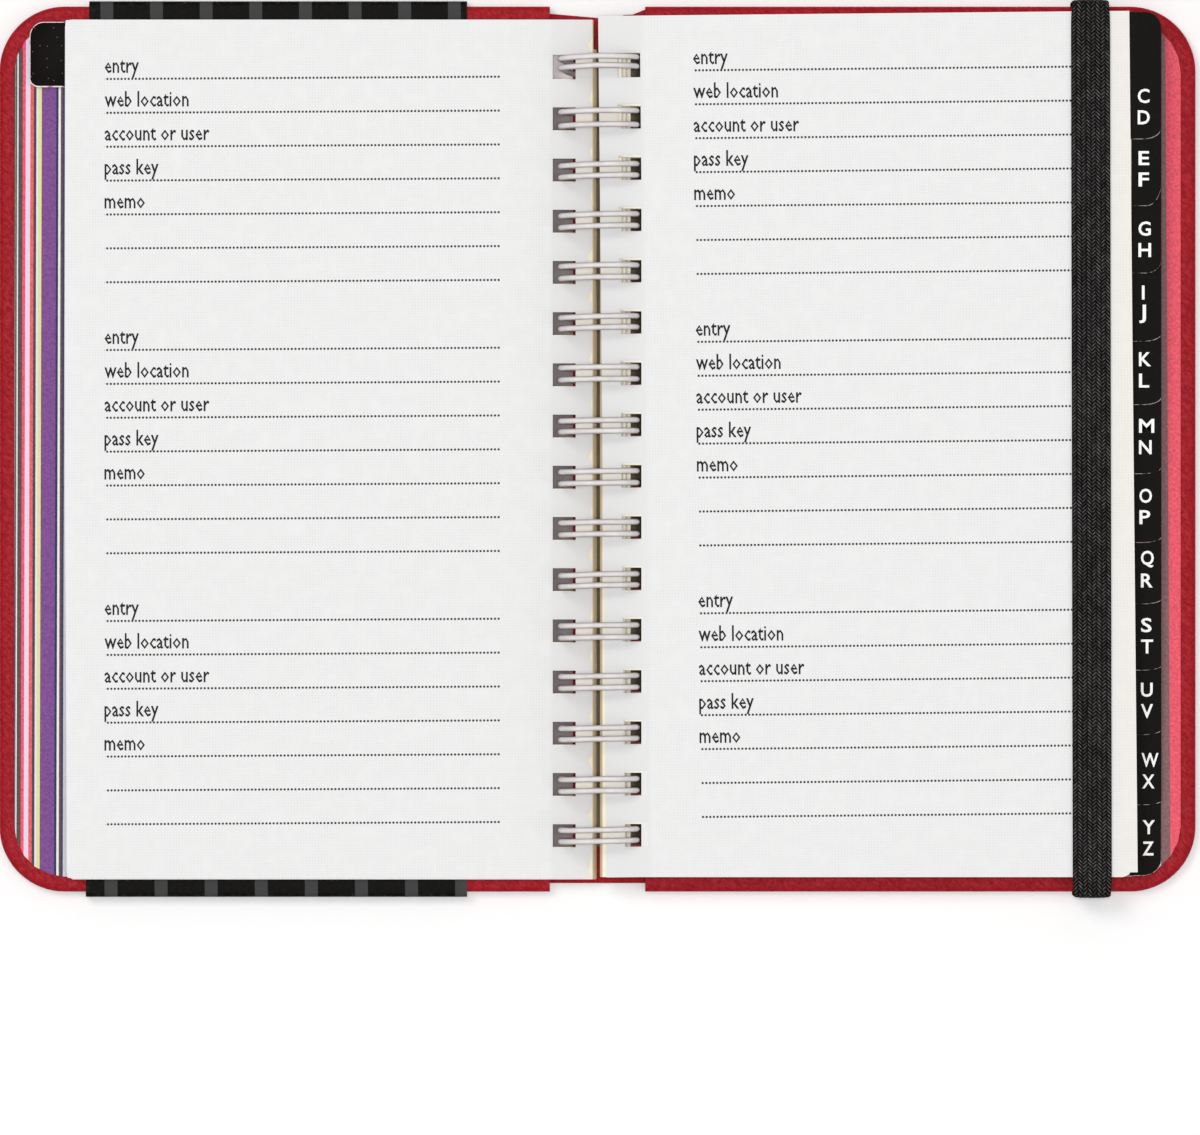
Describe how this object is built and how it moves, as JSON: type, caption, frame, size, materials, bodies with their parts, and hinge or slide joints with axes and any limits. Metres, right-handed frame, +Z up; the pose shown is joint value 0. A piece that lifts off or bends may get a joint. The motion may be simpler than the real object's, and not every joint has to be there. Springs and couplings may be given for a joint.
{
  "type": "address book",
  "caption": "Pocket address book lying open: red leatherette covers, tabbed alphabet leaves on a concealed double-loop wire, elastic closure and a paper band round the front cover.",
  "frame": {"origin": "on the table, in the middle of the open spread: under the gutter, half way up the covers", "axes": "+X across the spread towards the fore edge of the back cover, +Y up the page, +Z up from the table"},
  "size_m": [0.198, 0.1492, 0.0149],
  "materials": {
    "leatherette": "pebbled red leatherette",
    "greyboard": "bare binder's board",
    "front_endpaper": "striped, uncoated",
    "back_endpaper": "striped card, uncoated",
    "page": "uncoated, fine linen finish, dotted rules",
    "wire": "gloss white coated steel wire",
    "elastic": "black braided elastic",
    "band": "printed coated paper"
  },
  "bodies": {
    "back_cover": {"back_cover_wrap": "leatherette", "back_cover_board": "greyboard", "back_endpaper": "back_endpaper", "spine_wrap": "leatherette", "wire_binding": "wire", "elastic_top_end": "elastic", "elastic_bottom_end": "elastic"},
    "front_cover": {"front_cover_wrap": "leatherette", "front_cover_board": "greyboard", "front_endpaper": "front_endpaper"},
    "paper_band": {"paper_band": "band"},
    "front_leaves": {"front_leaves": "page"},
    "leaves_ab": {"section_ab": "page"},
    "left_page": {"left_page_leaf": "page"},
    "elastic": {"elastic_span": "elastic"},
    "leaves_cd": {"section_cd": "page"},
    "leaves_ef": {"section_ef": "page"},
    "leaves_gh": {"section_gh": "page"},
    "leaves_ij": {"section_ij": "page"},
    "leaves_kl": {"section_kl": "page"},
    "leaves_mn": {"section_mn": "page"},
    "leaves_op": {"section_op": "page"},
    "leaves_qr": {"section_qr": "page"},
    "leaves_st": {"section_st": "page"},
    "leaves_uv": {"section_uv": "page"},
    "leaves_wx": {"section_wx": "page"},
    "leaves_yz": {"section_yz": "page"}
  },
  "joints": [
    {"name": "cover_close", "type": "hinge", "parent": "back_cover", "child": "front_cover", "pos_m": [0, 0, 0.008], "axis": [0, 1, 0], "range_deg": [0, 180]},
    {"name": "front_leaves_turn", "type": "hinge", "parent": "front_cover", "child": "front_leaves", "pos_m": [0, 0, 0.008], "axis": [0, 1, 0], "range_deg": [0, 180]},
    {"name": "ab_turn", "type": "hinge", "parent": "front_leaves", "child": "leaves_ab", "pos_m": [0, 0, 0.008], "axis": [0, 1, 0], "range_deg": [0, 180]},
    {"name": "left_page_turn", "type": "hinge", "parent": "leaves_ab", "child": "left_page", "pos_m": [0, 0, 0.008], "axis": [0, 1, 0], "range_deg": [0, 180]},
    {"name": "yz_turn", "type": "hinge", "parent": "back_cover", "child": "leaves_yz", "pos_m": [0, 0, 0.008], "axis": [0, -1, 0], "range_deg": [0, 180]},
    {"name": "wx_turn", "type": "hinge", "parent": "leaves_yz", "child": "leaves_wx", "pos_m": [0, 0, 0.008], "axis": [0, -1, 0], "range_deg": [0, 180]},
    {"name": "uv_turn", "type": "hinge", "parent": "leaves_wx", "child": "leaves_uv", "pos_m": [0, 0, 0.008], "axis": [0, -1, 0], "range_deg": [0, 180]},
    {"name": "st_turn", "type": "hinge", "parent": "leaves_uv", "child": "leaves_st", "pos_m": [0, 0, 0.008], "axis": [0, -1, 0], "range_deg": [0, 180]},
    {"name": "qr_turn", "type": "hinge", "parent": "leaves_st", "child": "leaves_qr", "pos_m": [0, 0, 0.008], "axis": [0, -1, 0], "range_deg": [0, 180]},
    {"name": "op_turn", "type": "hinge", "parent": "leaves_qr", "child": "leaves_op", "pos_m": [0, 0, 0.008], "axis": [0, -1, 0], "range_deg": [0, 180]},
    {"name": "mn_turn", "type": "hinge", "parent": "leaves_op", "child": "leaves_mn", "pos_m": [0, 0, 0.008], "axis": [0, -1, 0], "range_deg": [0, 180]},
    {"name": "kl_turn", "type": "hinge", "parent": "leaves_mn", "child": "leaves_kl", "pos_m": [0, 0, 0.008], "axis": [0, -1, 0], "range_deg": [0, 180]},
    {"name": "ij_turn", "type": "hinge", "parent": "leaves_kl", "child": "leaves_ij", "pos_m": [0, 0, 0.008], "axis": [0, -1, 0], "range_deg": [0, 180]},
    {"name": "gh_turn", "type": "hinge", "parent": "leaves_ij", "child": "leaves_gh", "pos_m": [0, 0, 0.008], "axis": [0, -1, 0], "range_deg": [0, 180]},
    {"name": "ef_turn", "type": "hinge", "parent": "leaves_gh", "child": "leaves_ef", "pos_m": [0, 0, 0.008], "axis": [0, -1, 0], "range_deg": [0, 180]},
    {"name": "cd_turn", "type": "hinge", "parent": "leaves_ef", "child": "leaves_cd", "pos_m": [0, 0, 0.008], "axis": [0, -1, 0], "range_deg": [0, 180]},
    {"name": "band_slide", "type": "slide", "parent": "front_cover", "child": "paper_band", "axis": [-1, 0, 0], "range_m": [0, 0.08]},
    {"name": "elastic_pull", "type": "slide", "parent": "back_cover", "child": "elastic", "axis": [0, 0, 1], "range_m": [0, 0.012], "stiffness_N_per_m": 120, "springref_m": -0.004, "deforming": ["elastic_span", "elastic_top_end", "elastic_bottom_end"]}
  ]
}
